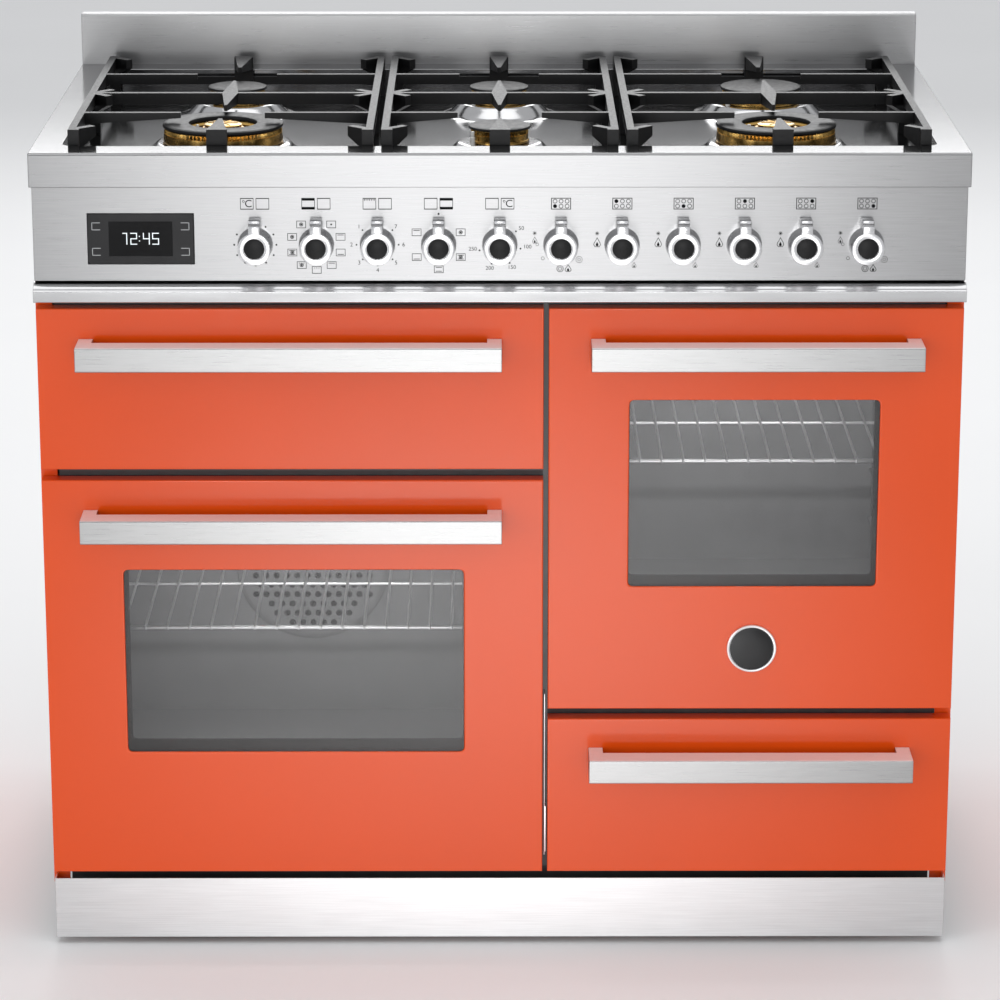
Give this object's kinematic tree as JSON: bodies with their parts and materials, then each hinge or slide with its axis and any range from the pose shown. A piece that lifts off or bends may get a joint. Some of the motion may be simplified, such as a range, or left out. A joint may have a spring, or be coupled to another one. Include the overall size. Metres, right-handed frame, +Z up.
{
  "type": "freestanding gas range",
  "caption": "Wide freestanding gas range with drop-down oven and grill doors, storage drawer, knob panel, gas burners and cast-iron pan supports.",
  "frame": {"origin": "centre of the bounding box on the floor", "axes": "+X to the right seen from the front, +Y to the rear, +Z up; the doors face -Y"},
  "size_m": [1, 0.638, 0.96],
  "materials": {
    "black_enamel": "satin black enamel",
    "orange_enamel": "gloss orange enamel",
    "stainless": "horizontally brushed",
    "handle_bar": "brushed front, polished top",
    "polished_trim": "polished",
    "clock_glass": "black gloss",
    "cavity_enamel": "dark grey oven enamel",
    "fan_steel": "plain",
    "rack_chrome": "bright wire",
    "foot_plastic": "matte black",
    "burner_brass": "polished",
    "cap_enamel": "matte black enamel",
    "cast_iron": "matte black",
    "knob_metal": "brushed front, polished side",
    "oven_glass": "dark tinted"
  },
  "bodies": {
    "body": {"chassis": "black_enamel", "side_panel_left": "orange_enamel", "side_panel_right": "orange_enamel", "hob_top": "stainless", "backguard": "stainless", "control_panel": "stainless", "vent_ledge": "polished_trim", "clock_module": "clock_glass", "grill_cavity": "cavity_enamel", "left_oven_cavity": "cavity_enamel", "right_oven_cavity": "cavity_enamel", "rack_left": "rack_chrome", "rack_right": "rack_chrome", "kick_plate": "stainless", "foot_1": "foot_plastic", "foot_2": "foot_plastic", "foot_3": "foot_plastic", "foot_4": "foot_plastic", "burner_front_left": "burner_brass", "cap_front_left": "cap_enamel", "burner_rear_left": "burner_brass", "cap_rear_left": "cap_enamel", "burner_front_middle": "burner_brass", "cap_front_middle": "cap_enamel", "burner_rear_middle": "burner_brass", "cap_rear_middle": "cap_enamel", "burner_front_right": "burner_brass", "cap_front_right": "cap_enamel", "burner_rear_right": "burner_brass", "cap_rear_right": "cap_enamel", "left_hinge": "fan_steel", "right_hinge": "fan_steel"},
    "grill_door": {"grill_door_panel": "orange_enamel", "grill_door_handle": "handle_bar"},
    "left_oven_door": {"left_door_panel": "orange_enamel", "left_door_glass": "oven_glass", "left_door_liner": "black_enamel", "left_door_handle": "handle_bar"},
    "right_oven_door": {"right_door_panel": "orange_enamel", "right_door_glass": "oven_glass", "right_door_liner": "black_enamel", "right_door_handle": "handle_bar"},
    "drawer": {"drawer_front": "orange_enamel", "drawer_handle": "handle_bar", "drawer_box": "fan_steel"},
    "knob_01_body": {"knob_01": "knob_metal"},
    "knob_02_body": {"knob_02": "knob_metal"},
    "knob_03_body": {"knob_03": "knob_metal"},
    "knob_04_body": {"knob_04": "knob_metal"},
    "knob_05_body": {"knob_05": "knob_metal"},
    "knob_06_body": {"knob_06": "knob_metal"},
    "knob_07_body": {"knob_07": "knob_metal"},
    "knob_08_body": {"knob_08": "knob_metal"},
    "knob_09_body": {"knob_09": "knob_metal"},
    "knob_10_body": {"knob_10": "knob_metal"},
    "knob_11_body": {"knob_11": "knob_metal"},
    "grate_left_body": {"grate_left": "cast_iron"},
    "grate_middle_body": {"grate_middle": "cast_iron"},
    "grate_right_body": {"grate_right": "cast_iron"},
    "fan": {"convection_fan": "fan_steel"}
  },
  "joints": [
    {"name": "grill_door_hinge", "type": "hinge", "parent": "body", "child": "grill_door", "pos_m": [-0.2253, -0.2615, 0.5567], "axis": [1, 0, 0], "range_deg": [0, 90], "stiffness_Nm_per_rad": 1.2, "springref_deg": -34.38},
    {"name": "left_oven_door_hinge", "type": "hinge", "parent": "body", "child": "left_oven_door", "pos_m": [-0.2253, -0.2615, 0.0915], "axis": [1, 0, 0], "range_deg": [0, 90], "stiffness_Nm_per_rad": 7, "springref_deg": -17.19},
    {"name": "right_oven_door_hinge", "type": "hinge", "parent": "body", "child": "right_oven_door", "pos_m": [0.27515, -0.2615, 0.2828], "axis": [1, 0, 0], "range_deg": [0, 90], "stiffness_Nm_per_rad": 5.5, "springref_deg": -17.19},
    {"name": "drawer_slide", "type": "slide", "parent": "body", "child": "drawer", "axis": [0, -1, 0], "range_m": [0, 0.315]},
    {"name": "knob_01_turn", "type": "hinge", "parent": "body", "child": "knob_01_body", "pos_m": [-0.261, -0.283, 0.7992], "axis": [0, -1, 0], "range_deg": [-285, 0]},
    {"name": "knob_02_turn", "type": "hinge", "parent": "body", "child": "knob_02_body", "pos_m": [-0.1958, -0.283, 0.7992], "axis": [0, -1, 0], "continuous": true},
    {"name": "knob_03_turn", "type": "hinge", "parent": "body", "child": "knob_03_body", "pos_m": [-0.1306, -0.283, 0.7992], "axis": [0, -1, 0], "range_deg": [0, 320]},
    {"name": "knob_04_turn", "type": "hinge", "parent": "body", "child": "knob_04_body", "pos_m": [-0.0654, -0.283, 0.7992], "axis": [0, -1, 0], "continuous": true},
    {"name": "knob_05_turn", "type": "hinge", "parent": "body", "child": "knob_05_body", "pos_m": [-0.0002, -0.283, 0.7992], "axis": [0, -1, 0], "range_deg": [-285, 0]},
    {"name": "knob_06_turn", "type": "hinge", "parent": "body", "child": "knob_06_body", "pos_m": [0.065, -0.283, 0.7992], "axis": [0, -1, 0], "range_deg": [0, 240]},
    {"name": "knob_07_turn", "type": "hinge", "parent": "body", "child": "knob_07_body", "pos_m": [0.1302, -0.283, 0.7992], "axis": [0, -1, 0], "range_deg": [0, 210]},
    {"name": "knob_08_turn", "type": "hinge", "parent": "body", "child": "knob_08_body", "pos_m": [0.1954, -0.283, 0.7992], "axis": [0, -1, 0], "range_deg": [0, 210]},
    {"name": "knob_09_turn", "type": "hinge", "parent": "body", "child": "knob_09_body", "pos_m": [0.2606, -0.283, 0.7992], "axis": [0, -1, 0], "range_deg": [0, 210]},
    {"name": "knob_10_turn", "type": "hinge", "parent": "body", "child": "knob_10_body", "pos_m": [0.3258, -0.283, 0.7992], "axis": [0, -1, 0], "range_deg": [0, 210]},
    {"name": "knob_11_turn", "type": "hinge", "parent": "body", "child": "knob_11_body", "pos_m": [0.391, -0.283, 0.7992], "axis": [0, -1, 0], "range_deg": [0, 240]},
    {"name": "grate_left_lift", "type": "slide", "parent": "body", "child": "grate_left_body", "axis": [0, 0, 1], "range_m": [0, 0.1]},
    {"name": "grate_middle_lift", "type": "slide", "parent": "body", "child": "grate_middle_body", "axis": [0, 0, 1], "range_m": [0, 0.1]},
    {"name": "grate_right_lift", "type": "slide", "parent": "body", "child": "grate_right_body", "axis": [0, 0, 1], "range_m": [0, 0.1]},
    {"name": "fan_spin", "type": "hinge", "parent": "body", "child": "fan", "pos_m": [-0.2253, 0.1893, 0.311], "axis": [0, 1, 0], "continuous": true}
  ]
}
